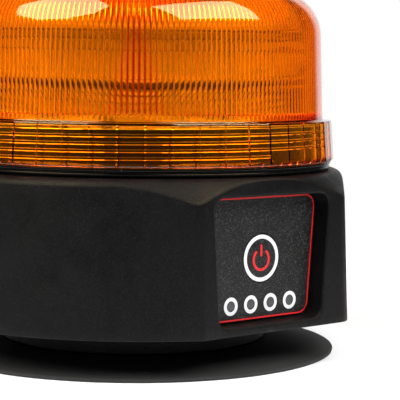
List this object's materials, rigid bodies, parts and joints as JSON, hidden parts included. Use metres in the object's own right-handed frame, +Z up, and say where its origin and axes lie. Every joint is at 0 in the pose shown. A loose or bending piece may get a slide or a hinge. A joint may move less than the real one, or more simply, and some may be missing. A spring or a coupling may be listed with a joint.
{
  "type": "LED warning beacon",
  "caption": "Round amber warning beacon with a screw-on fluted lens, black housing with a recessed control panel, and a magnetic rubber foot.",
  "frame": {"origin": "on the beacon's axis, on the underside of the rubber foot where it stands", "axes": "+Z up through the lens, -Y out of the control panel, +X to the right as the panel is read"},
  "size_m": [0.1474, 0.1432, 0.1259],
  "materials": {
    "amber_lens": "clear amber polycarbonate, glossy",
    "housing_black": "fine spark-eroded texture, matt",
    "overlay_black": "textured polycarbonate film",
    "button_white": "printed white",
    "window_grey": "smoked light guide",
    "seal_rubber": "smooth rubber",
    "foot_rubber": "dusty matt rubber",
    "cap_rubber": "matt rubber",
    "zinc_steel": "zinc-plated steel",
    "magnet_nickel": "nickel-plated magnet",
    "sink_metal": "plain anodised",
    "board_green": "solder mask",
    "board_white": "white solder mask",
    "led_white": "phosphor",
    "component_black": "moulded epoxy",
    "cell_wrap": "shrink wrap",
    "optic_clear": "clear polycarbonate",
    "tower_black": "satin",
    "tower_grey": "satin",
    "lead_red": "wire insulation",
    "lead_black": "wire insulation"
  },
  "bodies": {
    "base": {"base_housing": "housing_black", "lens_mount_ring": "housing_black", "bottom_cover": "housing_black", "cover_seal": "seal_rubber", "rubber_foot": "foot_rubber", "magnet_pot": "zinc_steel", "magnet": "magnet_nickel", "magnet_bolt": "zinc_steel", "magnet_washer": "zinc_steel", "magnet_nut": "zinc_steel", "panel_overlay": "overlay_black", "switch_body": "component_black", "control_board": "board_green", "battery_tray": "component_black", "driver_board": "board_green", "capacitor": "component_black", "inductor": "component_black", "charge_jack": "component_black", "battery_lead_red": "lead_red", "battery_lead_black": "lead_black", "lamp_cable": "lead_black", "tower_base": "tower_black", "heat_sink": "sink_metal", "optic_lower": "optic_clear", "optic_spacer": "optic_clear", "optic_upper": "optic_clear", "tower_cap": "tower_grey", "tower_cap_screw": "zinc_steel", "cover_screw_1": "zinc_steel", "indicator_window_1": "window_grey", "status_led_1": "led_white", "cover_screw_2": "zinc_steel", "indicator_window_2": "window_grey", "status_led_2": "led_white", "cover_screw_3": "zinc_steel", "indicator_window_3": "window_grey", "status_led_3": "led_white", "cover_screw_4": "zinc_steel", "indicator_window_4": "window_grey", "status_led_4": "led_white", "board_screw_1": "zinc_steel", "driver_screw_1": "zinc_steel", "battery_cell_1": "cell_wrap", "board_screw_2": "zinc_steel", "driver_screw_2": "zinc_steel", "battery_cell_2": "cell_wrap", "tower_screw_1": "zinc_steel", "tower_screw_2": "zinc_steel", "tower_screw_3": "zinc_steel", "led_board_1": "board_white", "led_board_2": "board_white", "led_board_3": "board_white", "led_board_4": "board_white", "led_board_5": "board_white", "led_board_6": "board_white"},
    "seal_ring": {"lens_seal": "seal_rubber"},
    "lens": {"lens": "amber_lens"},
    "button": {"power_button": "button_white", "switch_plunger": "component_black"},
    "port_cap": {"charge_port_cap": "cap_rubber"}
  },
  "joints": [
    {"name": "lens_twist", "type": "hinge", "parent": "base", "child": "seal_ring", "pos_m": [0, 0, 0.0652], "axis": [0, 0, 1], "range_deg": [0, 1800]},
    {"name": "lens_lift", "type": "slide", "parent": "seal_ring", "child": "lens", "axis": [0, 0, 1], "range_m": [0, 0.0115]},
    {"name": "power_press", "type": "slide", "parent": "base", "child": "button", "axis": [0, 1, 0], "range_m": [0, 0.0005], "stiffness_N_per_m": 2400, "springref_m": -0.0004},
    {"name": "port_cap_hinge", "type": "hinge", "parent": "base", "child": "port_cap", "pos_m": [0, 0.0707, 0.0286], "axis": [-1, 0, 0], "range_deg": [0, 100], "stiffness_Nm_per_rad": 0.003, "springref_deg": -17.19}
  ],
  "couplings": [
    {"joint": "lens_lift", "follows": "lens_twist", "m_per_rad": 0.000366}
  ]
}
